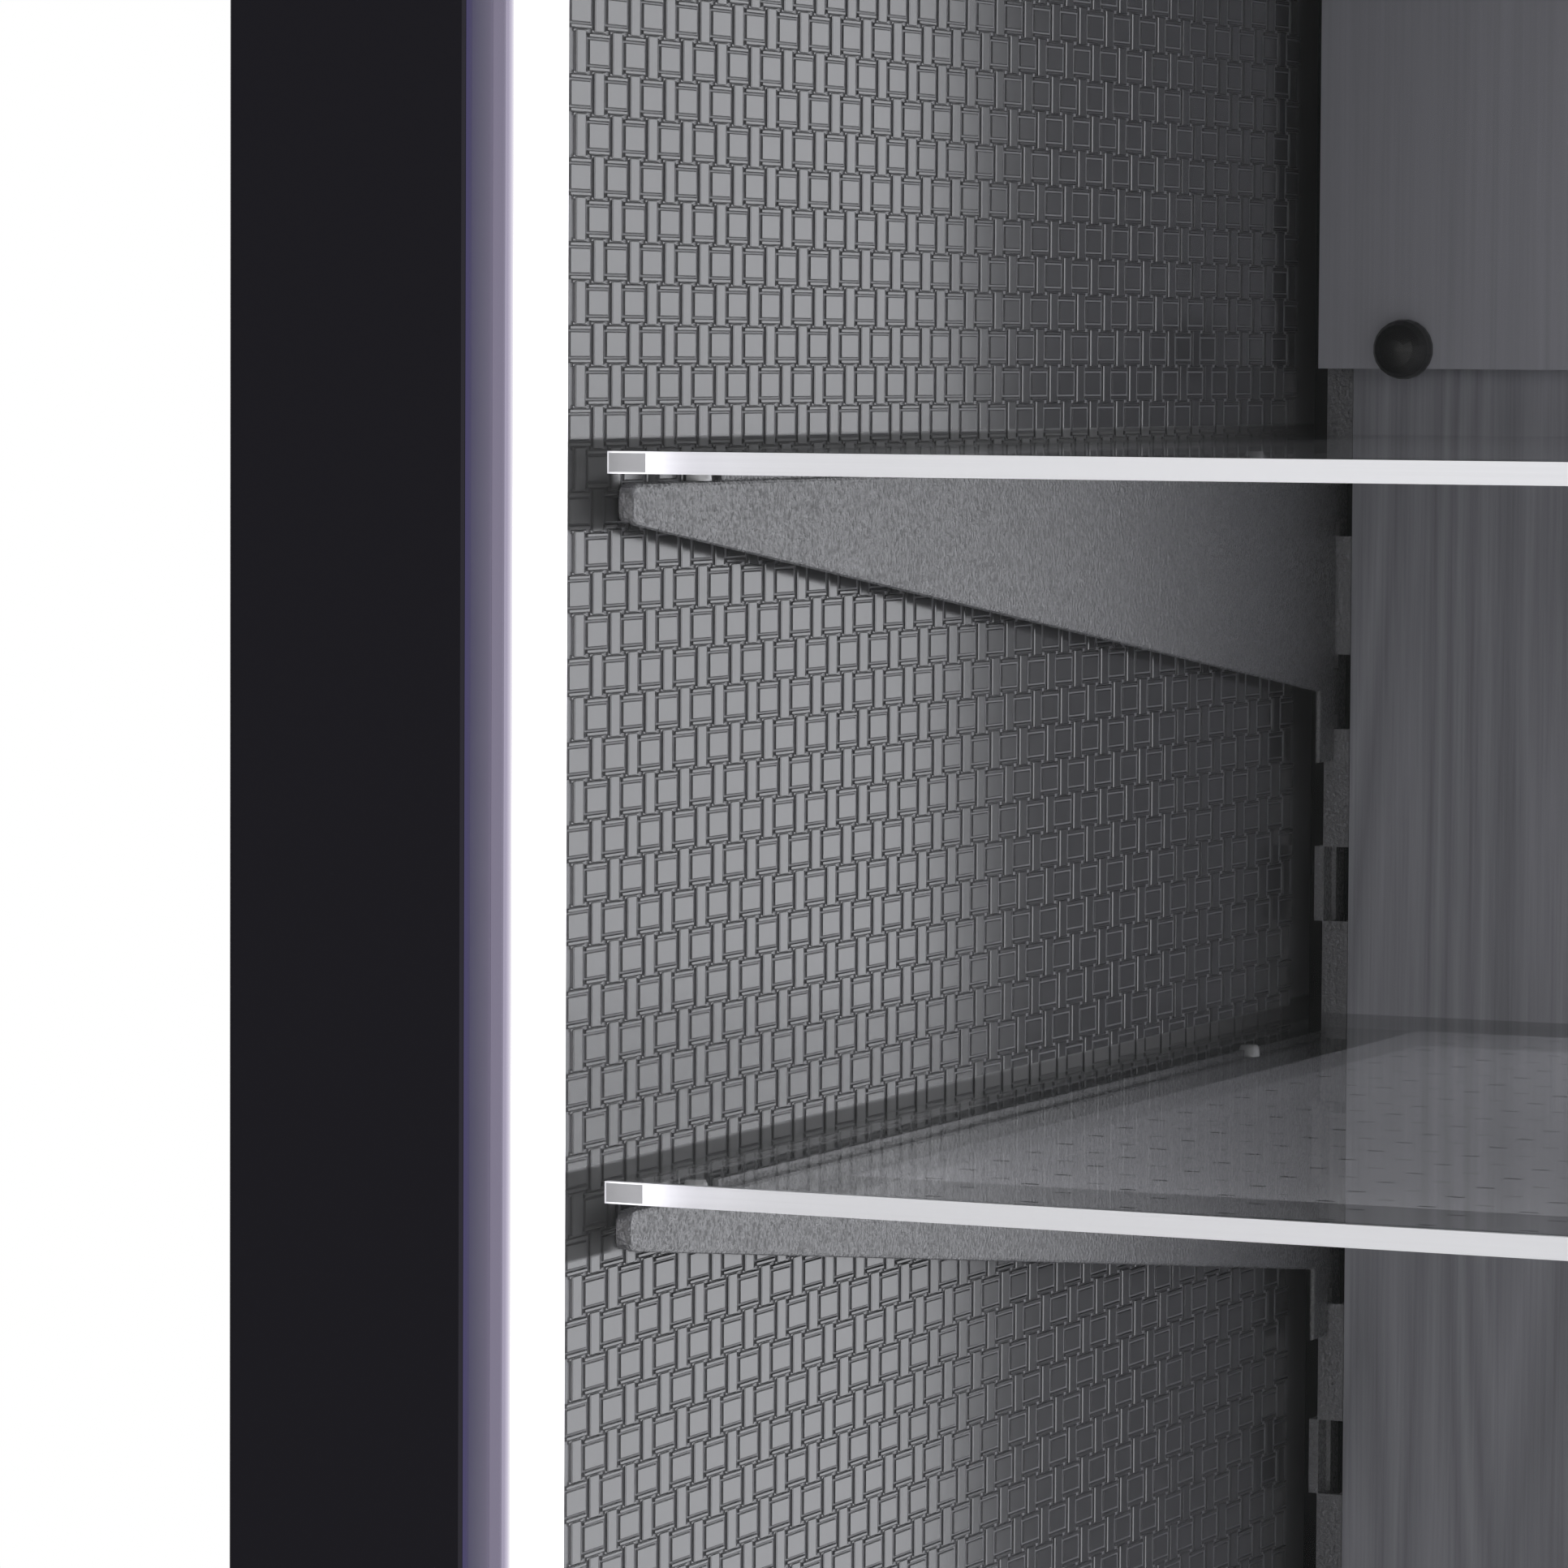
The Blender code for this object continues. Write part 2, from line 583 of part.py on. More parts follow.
def member_outline(outer, inner):
    """Section of a door frame member (across, Y): round front edges, groove at the inside."""
    way = 1 if inner > outer else -1
    r = FRAME_ROUND
    points = []
    for across, y in arc(0, 0, r, 180, 270, 3):
        points.append((outer + way * (r + across), DOOR_FRONT + r + y))
    for across, y in arc(0, 0, r, 270, 360, 3):
        points.append((inner + way * (across - r), DOOR_FRONT + r + y))
    bed = inner - way * GROOVE_DEPTH
    points += [(inner, GROOVE_Y), (bed, GROOVE_Y), (bed, GROOVE_Y + GROOVE_WIDTH),
               (inner, GROOVE_Y + GROOVE_WIDTH), (inner, DOOR_REAR), (outer, DOOR_REAR)]
    return points


def make_door(name, side, looks):
    """One framed glass door: two stiles, two rails, pane, gasket and handle."""
    holder = axis_empty(name + "_door_axis", (side * PIVOT_X, PIVOT_Y, DOOR_LOW))
    edge, meeting = HALF, DOOR_GAP / 2
    hinge_in, meeting_in = edge - STILE, meeting + STILE
    low_in, high_in = DOOR_LOW + STILE, DOOR_HIGH - STILE

    bm = bmesh.new()
    outline = [(side * x, y) for x, y in member_outline(edge, hinge_in)]
    add_prism(bm, outline, "Z", DOOR_LOW, DOOR_HIGH)
    stile = finish(name + "_hinge_stile", bm, looks["black"], holder)
    bm = bmesh.new()
    for z in (DOOR_LOW, DOOR_HIGH):
        reach = PIN_LENGTH + PAST
        add_turned(bm, ((PIN_BORE, -reach), (PIN_BORE, reach)), (side * PIVOT_X, PIVOT_Y, z),
                   "Z", 16)
    boolean(stile, finish("cut_pivots_" + name, bm, None, holder), "DIFFERENCE")

    bm = bmesh.new()
    outline = [(side * x, y) for x, y in member_outline(meeting, meeting_in)]
    add_prism(bm, outline, "Z", DOOR_LOW, DOOR_HIGH)
    finish(name + "_meeting_stile", bm, looks["black"], holder)

    span = sorted((side * (meeting_in + CLEAR), side * (hinge_in - CLEAR)))
    for rail, outer, inner in (("bottom", DOOR_LOW, low_in), ("top", DOOR_HIGH, high_in)):
        bm = bmesh.new()
        outline = [(y, z) for z, y in member_outline(outer, inner)]
        add_prism(bm, outline, "X", *span)
        finish("%s_%s_rail" % (name, rail), bm, looks["black"], holder)

    make_pane(name, side, holder, (meeting_in, hinge_in), (low_in, high_in), looks)
    make_handle(name, side, holder, meeting + STILE / 2, looks)


def make_pane(name, side, holder, across, up, looks):
    """The pane, and the gasket that holds its edge in the frame's groove."""
    def slab(bm, grow, y_low, y_high):
        add_box(bm, *sided((across[0] - grow, y_low, up[0] - grow),
                           (across[1] + grow, y_high, up[1] + grow), side))

    edge = GROOVE_DEPTH - GLASS_EDGE_GAP
    bm = bmesh.new()
    slab(bm, edge, GLASS_Y, GLASS_Y + GLASS)
    finish(name + "_glass", bm, looks["glass"], holder)

    bm = bmesh.new()
    slab(bm, GROOVE_DEPTH - CLEAR, GROOVE_Y + CLEAR, GROOVE_Y + GROOVE_WIDTH - CLEAR)
    gasket = finish(name + "_gasket", bm, looks["rubber"], holder)
    bm = bmesh.new()
    slab(bm, GASKET_LIP, GROOVE_Y - PAST, GROOVE_Y + GROOVE_WIDTH + PAST)
    boolean(gasket, finish("cut_sight_" + name, bm, None, holder), "DIFFERENCE")
    bm = bmesh.new()
    slab(bm, edge + CLEAR, GLASS_Y - CLEAR, GLASS_Y + GLASS + CLEAR)
    boolean(gasket, finish("cut_bed_" + name, bm, None, holder), "DIFFERENCE")


def make_handle(name, side, holder, across, looks):
    """A straight bar handle, bent back into two posts: one outline pushed across."""
    x = side * across
    wide, deep = HANDLE_BAR
    front, rear = DOOR_FRONT - HANDLE_REACH, DOOR_FRONT - CLEAR
    low, high = HANDLE_HEIGHT - HANDLE_LENGTH / 2, HANDLE_HEIGHT + HANDLE_LENGTH / 2
    foot, post, bar = HANDLE_POST_INSET, HANDLE_POST, front + deep
    outline = ((front, low), (front, high), (bar, high), (bar, high - foot),
               (rear, high - foot), (rear, high - foot - post), (bar, high - foot - post),
               (bar, low + foot + post), (rear, low + foot + post), (rear, low + foot),
               (bar, low + foot), (bar, low))
    bm = bmesh.new()
    add_prism(bm, outline, "X", x - wide / 2, x + wide / 2)
    finish(name + "_handle", bm, looks["handle"], holder)


def make_door_fittings(looks):
    """Pivot pins in the top and bottom panels, and the magnetic catch for both doors."""
    for name, side in SIDES:
        for end, z, way in (("lower", FLOOR_Z + CLEAR, 1), ("upper", CEILING_Z - CLEAR, -1)):
            radius, thick = PIVOT_FLANGE
            profile = ((radius, 0.0), (radius, way * thick), (PIN_RADIUS, way * thick),
                       (PIN_RADIUS, way * PIN_LENGTH))
            bm = bmesh.new()
            add_turned(bm, profile, (side * PIVOT_X, PIVOT_Y, z), "Z", 16)
            finish("%s_%s_pivot" % (name, end), bm, looks["steel"], None, True)
    bm = bmesh.new()
    wide, deep, tall = CATCH
    add_box(bm, (-wide / 2, DOOR_REAR + CATCH_GAP, CEILING_Z - CLEAR - tall),
            (wide / 2, DOOR_REAR + CATCH_GAP + deep, CEILING_Z - CLEAR))
    finish("magnetic_catch", bm, looks["rubber"])


# --- feet ------------------------------------------------------------------------------

def foot_places():
    """Four feet inside the plinth, (X, Y)."""
    x = HALF - FOOT_INSET
    rows = (DOOR_FRONT + FOOT_FRONT_INSET, CARCASS_REAR - FOOT_INSET)
    return [(side * x, y) for y in rows for side in (LEFT, RIGHT)]


def make_feet(looks):
    """Levelling feet: a pad, a stem in the bottom panel and a collar as its stop."""
    names = ("front_left", "front_right", "rear_left", "rear_right")
    neck, slope = FOOT_NECK
    collar, collar_tall = FOOT_COLLAR
    stop = BOTTOM_LOW - CLEAR
    profile = ((FOOT_RADIUS, 0.0), (FOOT_RADIUS, FOOT_PAD * 0.6), (neck, FOOT_PAD),
               (FOOT_STEM, FOOT_PAD + slope), (FOOT_STEM, stop - collar_tall),
               (collar, stop - collar_tall), (collar, stop), (FOOT_STEM, stop),
               (FOOT_STEM, stop + FOOT_STEM_IN))
    for name, (x, y) in zip(names, foot_places()):
        holder = axis_empty(name + "_foot_axis", (x, y, 0.0))
        bm = bmesh.new()
        add_turned(bm, profile, (x, y, 0.0), "Z", 12)
        finish(name + "_foot", bm, looks["foot"], holder, True)


def main():
    for item in list(bpy.data.objects):
        bpy.data.objects.remove(item, do_unlink=True)
    looks = make_materials()
    make_carcass(looks)
    make_linings(looks)
    make_lit_corners(looks)
    make_driver_cover(looks)
    make_knobs(looks)
    make_uprights(looks)
    for number, top in enumerate(SHELF_TOPS, start=1):
        make_shelf(number, top, looks)
        make_brackets(number, top, looks)
    for name, side in SIDES:
        make_door(name, side, looks)
    make_door_fittings(looks)
    make_feet(looks)


main()
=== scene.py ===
"""Looks of the black display cabinet: embossed linings, lit corners, glass, metal and board."""

import math

import bpy
import numpy as np
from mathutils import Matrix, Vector


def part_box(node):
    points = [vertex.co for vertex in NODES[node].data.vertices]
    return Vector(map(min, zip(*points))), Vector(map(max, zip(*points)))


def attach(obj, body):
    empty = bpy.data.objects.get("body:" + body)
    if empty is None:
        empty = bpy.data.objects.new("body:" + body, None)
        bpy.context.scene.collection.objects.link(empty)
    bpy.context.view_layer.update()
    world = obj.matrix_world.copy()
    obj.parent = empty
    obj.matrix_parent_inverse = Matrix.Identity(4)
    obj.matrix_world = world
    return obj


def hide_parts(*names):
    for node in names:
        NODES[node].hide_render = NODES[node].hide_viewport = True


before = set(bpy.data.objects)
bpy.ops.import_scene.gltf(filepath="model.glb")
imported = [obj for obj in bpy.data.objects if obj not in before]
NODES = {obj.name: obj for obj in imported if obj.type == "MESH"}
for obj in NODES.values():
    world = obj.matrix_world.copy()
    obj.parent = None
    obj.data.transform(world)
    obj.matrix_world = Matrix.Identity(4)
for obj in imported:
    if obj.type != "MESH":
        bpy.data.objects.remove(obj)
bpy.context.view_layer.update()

# --- sizes of the surface detail, in metres --------------------------------------------

PITCH = 0.0085                # weave lattice, in depth and in height
WEAVE_DEEP = 0.00053          # from the crown of a bar down to the ground of the weave
WEAVE_START = (0.675, 0.356)  # first pad, in pitches from the front edge and from WEAVE_TOP
WEAVE_TOP = 1.6128
NEAREST = (0.0012, 0.002)     # least distance of a centre from the lining's edges
PAD = (0.0092, 0.0052, 0.00036)       # across the depth, upright, height
PAD_LIP = (0.0098, 0.0009, 0.00046)
PAD_GROOVE = 0.00035          # between a pad and its lips
BAR = (0.0049, 0.0091, 0.00052)
TIE = (0.0068, 0.0008, 0.00030)
LINING_RECESS = 0.010         # from the lining's rear edge to the upright's face
SKIN = 0.006                  # thickness of the lining's face layer
BUMPER_RADIUS = 0.0027
BUMPER_BELOW_TRIM = 0.0021
BUMPER_PLACES = (0.050, 0.380)        # from the linings' front edge
BLOCK_SLOPE = 0.00022         # sloping shoulder of a raised block
BLOCK_SINK = 0.0002           # depth of a block's foot under the ground
EDGE_GAP = 0.0002             # relief kept back from the lining's edges
PIECE_GAP = 0.0001            # between a bumper and what it touches
AXIS_RADIUS = 0.00005         # a turned profile starts and ends this near its axis
CAP_INSET, CAP_LENGTH = 0.0002, 0.0086
CAP_BLOCK = (0.0007, 0.0002)  # thickness and shoulder
CAP_FOOT = 0.00065            # from the trim's face back to the cap's foot

LEFT, RIGHT = -1, 1
SIDES = (("left", LEFT), ("right", RIGHT))
SHELVES = (1, 2, 3, 4)

# --- places read from the frame --------------------------------------------------------

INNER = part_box("right_lining")[0][0]
WALL_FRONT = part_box("right_lining")[0][1]
WALL_LOW, WALL_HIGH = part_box("right_lining")[0][2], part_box("right_lining")[1][2]
WALL_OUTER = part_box("right_lining")[1][0]
WALL_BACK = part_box("right_lining")[1][1]
WALL_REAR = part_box("right_upright")[0][1] - LINING_RECESS
DOOR_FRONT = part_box("right_hinge_stile")[0][1]
DOOR_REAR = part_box("right_hinge_stile")[1][1]
SHELF_TOPS = [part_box("glass_shelf_%d" % k)[1][2] for k in SHELVES]


# --- mesh making -----------------------------------------------------------------------

def mesh_piece(name, points, faces, look, smooth=False):
    """A mesh object from an (n, 3) array of points and an (m, 4) or (m, 3) array of faces."""
    points = np.asarray(points, dtype=np.float32)
    faces = np.asarray(faces, dtype=np.int32)
    count, sides = faces.shape
    mesh = bpy.data.meshes.new(name)
    mesh.vertices.add(len(points))
    mesh.vertices.foreach_set("co", points.ravel())
    mesh.loops.add(count * sides)
    mesh.loops.foreach_set("vertex_index", faces.ravel())
    mesh.polygons.add(count)
    mesh.polygons.foreach_set("loop_start", np.arange(count, dtype=np.int32) * sides)
    mesh.polygons.foreach_set("use_smooth", np.full(count, smooth))
    mesh.update(calc_edges=True)
    mesh.validate()
    made = bpy.data.objects.new(name, mesh)
    bpy.context.scene.collection.objects.link(made)
    mesh.materials.append(look)
    return made


def grid_faces(rows, columns, wrap):
    """Quads of a rows by columns grid of points; wrap joins the last column to the first."""
    r = np.arange(rows - 1)[:, None] * columns
    c = np.arange(columns if wrap else columns - 1)[None, :]
    d = (c + 1) % columns
    quads = np.stack([r + c, r + d, r + columns + d, r + columns + c], axis=-1)
    return quads.reshape(-1, 4)


def stamp(points, faces, centres):
    """One small shape set down at every centre: points (n, 3) + centres (m, 3)."""
    every = (centres[:, None, :] + points[None, :, :]).reshape(-1, 3)
    offset = (np.arange(len(centres)) * len(points))[:, None, None]
    return every, (faces[None, :, :] + offset).reshape(-1, faces.shape[1])


def join(*shapes):
    """Several (points, faces) shapes as one."""
    points, faces, start = [], [], 0
    for some_points, some_faces in shapes:
        points.append(some_points)
        faces.append(some_faces + start)
        start += len(some_points)
    return np.concatenate(points), np.concatenate(faces)


def raised_block(across, tall, high, slope=BLOCK_SLOPE, sink=BLOCK_SINK):
    """A closed block with sloping sides, in (depth, height, out of the wall).

    Its three rings are rectangles: half sizes shrink by `slope` over the last part of `high`.
    """
    corners = np.array([(-1, -1), (1, -1), (1, 1), (-1, 1)], dtype=float)
    half = np.array([across / 2, tall / 2])
    rings = []
    for inset, level in ((0.0, -sink), (0.0, high - slope), (slope, high)):
        flat = corners * (half - inset)
        rings.append(np.column_stack([flat, np.full(4, level)]))
    points = np.concatenate(rings)
    faces = np.concatenate([grid_faces(3, 4, True), [[3, 2, 1, 0], [8, 9, 10, 11]]])
    return points, faces


BAR_PROFILE = ((-0.5, -0.4), (-0.48, 0.78), (-0.38, 1.0), (0.38, 1.0), (0.48, 0.78), (0.5, -0.4))
BAR_ENDS = ((-0.5, 0.88, 0.3), (-0.465, 1.0, 1.0), (0.465, 1.0, 1.0), (0.5, 0.88, 0.3))


def shouldered_bar(across, tall, high):
    """A closed bar: BAR_PROFILE (share of the width, share of the height) pushed upright.

    BAR_ENDS gives each row's place along the bar, its width and its height, so the ends are
    drawn in and lowered."""
    d, level = np.array(BAR_PROFILE).T
    columns = len(d)
    rows = []
    for end, narrow, share in BAR_ENDS:
        out = np.where(level > 0, level * share, level) * high
        rows.append(np.column_stack([d * across * narrow, np.full(columns, end * tall), out]))
    last = columns - 1
    ends = [[k, last - k, last - 1 - k, k + 1] for k in range(columns // 2 - 1)]
    far = [[3 * columns + v for v in reversed(quad)] for quad in ends]
    under = [[k * columns, (k + 1) * columns, (k + 1) * columns + last, k * columns + last]
             for k in range(3)]
    faces = np.concatenate([grid_faces(4, columns, False), ends, far, under])
    return np.concatenate(rows), faces


def on_wall(points, side):
    """(depth, height, out) to (x, y, z) on one lining, clamped to its face."""
    depth = np.clip(points[:, 0], EDGE_GAP, WALL_REAR - WALL_FRONT - EDGE_GAP)
    height = np.clip(points[:, 1], WALL_LOW + EDGE_GAP, WALL_HIGH - EDGE_GAP)
    ground = INNER + WEAVE_DEEP
    return np.column_stack([side * (ground - points[:, 2]), WALL_FRONT + depth, height])


def facing(faces, side):
    """Face order turned over on the right-hand side, where the shape is mirrored."""
    return faces[:, ::-1] if side == RIGHT else faces


def weave_centres():
    """Lattice places: pads where column + row is even, bars where it is odd."""
    columns = np.arange(-1, int((WALL_REAR - WALL_FRONT) / PITCH) + 1)
    above, below = (WEAVE_TOP - WALL_HIGH) / PITCH, (WEAVE_TOP - WALL_LOW) / PITCH
    rows = np.arange(int(above) - 2, int(below) + 1)
    column, row = np.meshgrid(columns, rows)
    depth = PITCH * (WEAVE_START[0] + column)
    height = WEAVE_TOP - PITCH * (WEAVE_START[1] + row)
    inside = (depth > NEAREST[0]) & (depth < WALL_REAR - WALL_FRONT - NEAREST[0])
    inside &= (height > WALL_LOW + NEAREST[1]) & (height < WALL_HIGH - NEAREST[1])
    places = np.stack([depth, height, np.zeros_like(depth)], axis=-1)
    even = (column + row) % 2 == 0
    return places[inside & even], places[inside & ~even]


def make_linings(looks):
    """Lining boards, with the woven relief as pads with lips, flat-topped bars and ties."""
    pads, bars = weave_centres()
    lips = []
    for way in (-1, 1):
        points, faces = raised_block(*PAD_LIP)
        away = PAD[1] / 2 + PAD_GROOVE + PAD_LIP[1] / 2
        lips.append((points + [0, way * away, 0], faces))
    ties = []
    for way in (-1, 1):
        points, faces = raised_block(*TIE)
        ties.append((points + [0, way * PITCH / 2, 0], faces))
    patterns = (("pads", join(raised_block(*PAD), *lips), pads),
                ("bars", shouldered_bar(*BAR), bars),
                ("ties", join(*ties), bars))
    for name, side in SIDES:
        board = make_board(name, side, looks["lining"])
        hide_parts(name + "_lining")
        for part, (points, faces), places in patterns:
            every, quads = stamp(points, faces, places)
            piece = mesh_piece("%s_lining_%s" % (name, part), on_wall(every, side),
                               facing(quads, side), looks["lining"])
            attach(piece, "cabinet")


def make_board(name, side, look):
    """The board under the relief: an L-shaped outline pushed from the floor to the ceiling."""
    face = INNER + WEAVE_DEEP
    outline = np.array([(face, WALL_FRONT), (WALL_OUTER, WALL_FRONT), (WALL_OUTER, WALL_BACK),
                        (INNER + SKIN, WALL_BACK), (INNER + SKIN, WALL_REAR), (face, WALL_REAR)])
    count = len(outline)
    points = np.concatenate([np.column_stack([side * outline[:, 0], outline[:, 1],
                                              np.full(count, z)]) for z in (WALL_LOW, WALL_HIGH)])
    walls = grid_faces(2, count, True)
    caps = np.array([[0, 5, 4, 1], [1, 4, 3, 2]])
    tops = caps[:, ::-1] + count
    faces = np.concatenate([walls, caps, tops])
    board = mesh_piece(name + "_lining_board", points, facing(faces, -side), look)
    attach(board, "cabinet")
    return board


def turned(profile, sides):
    """Points and quads of a closed profile of (radius, along) turned about the third axis."""
    profile = np.asarray(profile, dtype=float)
    angle = 2 * math.pi * np.arange(sides) / sides
    radius, along = profile[:, 0][:, None], profile[:, 1][:, None]
    points = np.stack([radius * np.cos(angle), radius * np.sin(angle),
                       np.broadcast_to(along, (len(profile), sides))], axis=-1)
    return points.reshape(-1, 3), grid_faces(len(profile), sides, True)


# --- node graphs -----------------------------------------------------------------------

class Graph:
    """Short calls for building one node tree."""

    def __init__(self, tree):
        self.tree = tree

    def node(self, kind, inputs=None, **settings):
        made = self.tree.nodes.new(kind)
        for key, value in settings.items():
            setattr(made, key, value)
        for key, value in (inputs or {}).items():
            self.feed(made.inputs[key], value)
        return made

    def feed(self, socket, value):
        if isinstance(value, bpy.types.NodeSocket):
            self.tree.links.new(value, socket)
        else:
            socket.default_value = value

    def math(self, operation, a, b=0.0, clamp=False):
        made = self.node("ShaderNodeMath", {0: a, 1: b}, operation=operation)
        made.use_clamp = clamp
        return made.outputs[0]

    def mix(self, factor, a, b):
        made = self.node("ShaderNodeMix", data_type="RGBA")
        self.feed(made.inputs[0], factor)
        self.feed(made.inputs[6], a)
        self.feed(made.inputs[7], b)
        return made.outputs[2]

    def ramp(self, value, stops):
        made = self.node("ShaderNodeValToRGB", {0: value})
        points = made.color_ramp.elements
        for k, (place, colour) in enumerate(stops):
            point = points[k] if k < 2 else points.new(place)
            point.position = place
            point.color = (*colour, 1.0)
        return made.outputs[0]

    def between(self, value, low, high):
        """0 below low, 1 above high, smooth between."""
        made = self.node("ShaderNodeMapRange", {0: value, 1: low, 2: high, 3: 0.0, 4: 1.0},
                         interpolation_type="SMOOTHSTEP")
        return made.outputs[0]

    def place(self):
        """Object coordinates."""
        return self.node("ShaderNodeTexCoord").outputs["Object"]

    def stretched(self, scale):
        """Object coordinates times a scale on each axis."""
        made = self.node("ShaderNodeMapping", {"Vector": self.place(), "Scale": scale})
        return made.outputs[0]

    def noise(self, vector, scale, detail=3.0, rough=0.5, distort=0.0):
        made = self.node("ShaderNodeTexNoise", {"Vector": vector, "Scale": scale, "Detail": detail,
                                                "Roughness": rough, "Distortion": distort})
        return made.outputs["Fac"]


def new_group(name, inputs, outputs):
    """An empty shader node group with float or colour sockets; returns (tree, graph, in, out)."""
    tree = bpy.data.node_groups.new(name, "ShaderNodeTree")
    for socket, kind, value in inputs:
        made = tree.interface.new_socket(socket, in_out="INPUT", socket_type=kind)
        made.default_value = value
    for socket, kind in outputs:
        tree.interface.new_socket(socket, in_out="OUTPUT", socket_type=kind)
    graph = Graph(tree)
    return tree, graph, tree.nodes.new("NodeGroupInput"), tree.nodes.new("NodeGroupOutput")


def group_in(graph, tree, **values):
    """Place a shared group in a material, with its own values."""
    made = graph.node("ShaderNodeGroup")
    made.node_tree = tree
    for key, value in values.items():
        graph.feed(made.inputs[key.replace("_", " ")], value)
    return made


# Base colours and roughness of the lining, the brackets and the uprights.
LAMINATE = (0.043, 0.043, 0.0465)
GLOSS_ROUGHNESS = 0.18
POWDER = (0.095, 0.095, 0.102)
UPRIGHT_POWDER = (0.17, 0.17, 0.182)
POWDER_ROUGHNESS = 0.25


def brushed_group():
    """Fine parallel streaks: two noises drawn out along one axis by the Mapping that feeds it."""
    tree, g, given, result = new_group(
        "brushed streaks",
        [("Vector", "NodeSocketVector", (0, 0, 0)), ("Contrast", "NodeSocketFloat", 0.2)],
        [("Shade", "NodeSocketFloat"), ("Height", "NodeSocketFloat")])
    fine = g.noise(given.outputs[0], 1.0, 4.0, 0.65)
    broad = g.noise(given.outputs[0], 0.21, 2.0, 0.5)
    both = g.math("ADD", g.math("MULTIPLY", fine, 0.65), g.math("MULTIPLY", broad, 0.35))
    shade = g.math("ADD", g.math("MULTIPLY", g.math("SUBTRACT", both, 0.5), given.outputs[1]), 1.0)
    g.feed(result.inputs[0], shade)
    g.feed(result.inputs[1], both)
    return tree


def speckle_group():
    """Fine grains over a broad cloud, as a shade and a height."""
    tree, g, given, result = new_group(
        "fine speckle",
        [("Grain", "NodeSocketFloat", 1200.0), ("Contrast", "NodeSocketFloat", 0.25)],
        [("Shade", "NodeSocketFloat"), ("Height", "NodeSocketFloat")])
    place = g.place()
    grain = g.noise(place, given.outputs[0], 2.0, 0.6)
    cloud = g.noise(place, 45.0, 2.0, 0.5)
    height = g.math("ADD", g.math("MULTIPLY", grain, 0.9), g.math("MULTIPLY", cloud, 0.1))
    shade = g.math("ADD", g.math("MULTIPLY", g.math("SUBTRACT", grain, 0.5), given.outputs[1]), 1.0)
    g.feed(result.inputs[0], shade)
    g.feed(result.inputs[1], height)
    return tree


def handled_group():
    """Faint cloudy marks from handling and dust, as a roughness to add."""
    tree, g, given, result = new_group(
        "handling marks", [("Amount", "NodeSocketFloat", 0.1)], [("Rougher", "NodeSocketFloat")])
    cloud = g.noise(g.place(), 9.0, 4.0, 0.6, 0.4)
    marks = g.math("MULTIPLY", g.between(cloud, 0.45, 0.75), given.outputs[0])
    g.feed(result.inputs[0], marks)
    return tree


def start_material(name, colour, roughness, metallic=0.0, **plain):
    """A material with one Principled shader and its plain values."""
    made = bpy.data.materials.new(name)
    made.use_nodes = True
    graph = Graph(made.node_tree)
    shader = made.node_tree.nodes["Principled BSDF"]
    shader.inputs["Base Color"].default_value = (*colour, 1.0)
    shader.inputs["Roughness"].default_value = roughness
    shader.inputs["Metallic"].default_value = metallic
    for key, value in plain.items():
        shader.inputs[key.replace("_", " ")].default_value = value
    return made, graph, shader


def bump(graph, shader, height, distance):
    """Height to the shader's normal."""
    made = graph.node("ShaderNodeBump", {"Height": height, "Distance": distance, "Strength": 1.0})
    graph.feed(shader.inputs["Normal"], made.outputs[0])


def shaded(graph, colour, shade):
    """A colour multiplied by a grey value."""
    made = graph.node("ShaderNodeMix", data_type="RGBA", blend_type="MULTIPLY")
    made.inputs[0].default_value = 1.0
    made.inputs[6].default_value = (*colour, 1.0)
    graph.feed(made.inputs[7], shade)
    return made.outputs[2]


# Painted shadow on the lining along each shelf, and in front of each shelf's end and bracket.
SHADE_BAND = (-0.0008, 0.0033)        # middle and half height, from a shelf's top
SHADE_END = (-0.0075, 0.0086)         # the same in front of the shelf and its bracket
SHADE_END_DEEP = 0.022
SHADE_SOFT = (0.0006, 0.003)          # half widths of the soft edge, upright and in depth
GROOVE_EDGE = (0.00028, 0.00008)      # a groove begins and is complete this far above the ground


def painted_shelf_shade(g, y, z):
    """Painted shadow where a shelf's end and its bracket keep light off the lining, 0 to 1."""
    def near(middle, half):
        away = None
        for top in SHELF_TOPS:
            one = g.math("ABSOLUTE", g.math("SUBTRACT", z, top + middle))
            away = one if away is None else g.math("MINIMUM", away, one)
        return g.math("SUBTRACT", 1.0, g.between(away, half - SHADE_SOFT[0], half + SHADE_SOFT[0]))

    deep = WALL_FRONT + SHADE_END_DEEP
    front = g.math("SUBTRACT", 1.0, g.between(y, deep - SHADE_SOFT[1], deep + SHADE_SOFT[1]))
    return g.math("MAXIMUM", near(*SHADE_BAND), g.math("MULTIPLY", near(*SHADE_END), front))


